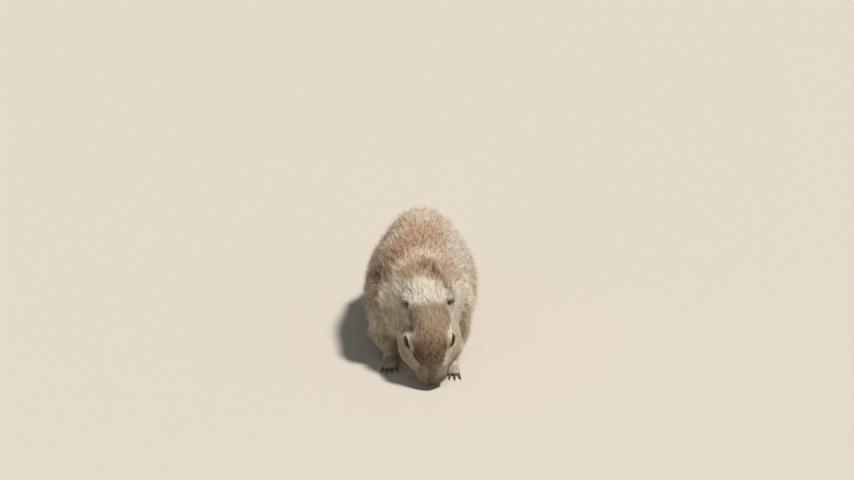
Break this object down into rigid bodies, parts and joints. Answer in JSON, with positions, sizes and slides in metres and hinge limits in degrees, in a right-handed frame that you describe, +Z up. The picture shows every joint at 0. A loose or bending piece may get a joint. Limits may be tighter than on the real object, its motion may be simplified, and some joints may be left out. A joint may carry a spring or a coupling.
{
  "type": "prairie dog",
  "caption": "Life-size prairie dog on all fours, back arched and nose lowered to the ground, tawny coat with a cream nape and a dark-tipped tail.",
  "frame": {"origin": "on the floor under the middle of the whole animal, claws and tail included", "axes": "+Z up, -Y towards the nose, +X the animal's left side"},
  "size_m": [0.0902, 0.2736, 0.1057],
  "materials": {
    "coat": "soft tawny fur with cream and brown bands",
    "bare_skin": "dark bare nose leather",
    "eye": "wet, nearly black",
    "claw": "dark horn"
  },
  "bodies": {
    "root": {"belly": "coat", "chest": "coat", "claw_fore_left_1": "claw", "claw_fore_left_2": "claw", "claw_fore_left_3": "claw", "claw_fore_left_4": "claw", "claw_fore_left_5": "claw", "claw_fore_right_1": "claw", "claw_fore_right_2": "claw", "claw_fore_right_3": "claw", "claw_fore_right_4": "claw", "claw_fore_right_5": "claw", "claw_hind_left_1": "claw", "claw_hind_left_2": "claw", "claw_hind_left_3": "claw", "claw_hind_left_4": "claw", "claw_hind_left_5": "claw", "claw_hind_right_1": "claw", "claw_hind_right_2": "claw", "claw_hind_right_3": "claw", "claw_hind_right_4": "claw", "claw_hind_right_5": "claw", "ear_left": "coat", "ear_right": "coat", "eye_left": "eye", "eye_right": "eye", "forearm_left": "coat", "forearm_right": "coat", "forepaw_left": "coat", "forepaw_right": "coat", "haunch_left": "coat", "haunch_right": "coat", "head": "coat", "hind_foot_left": "coat", "hind_foot_right": "coat", "jaw": "coat", "muzzle": "coat", "neck": "coat", "rump": "coat", "shoulder_left": "coat", "shoulder_right": "coat", "tail_base": "coat", "tail_end": "coat"}
  },
  "joints": []
}
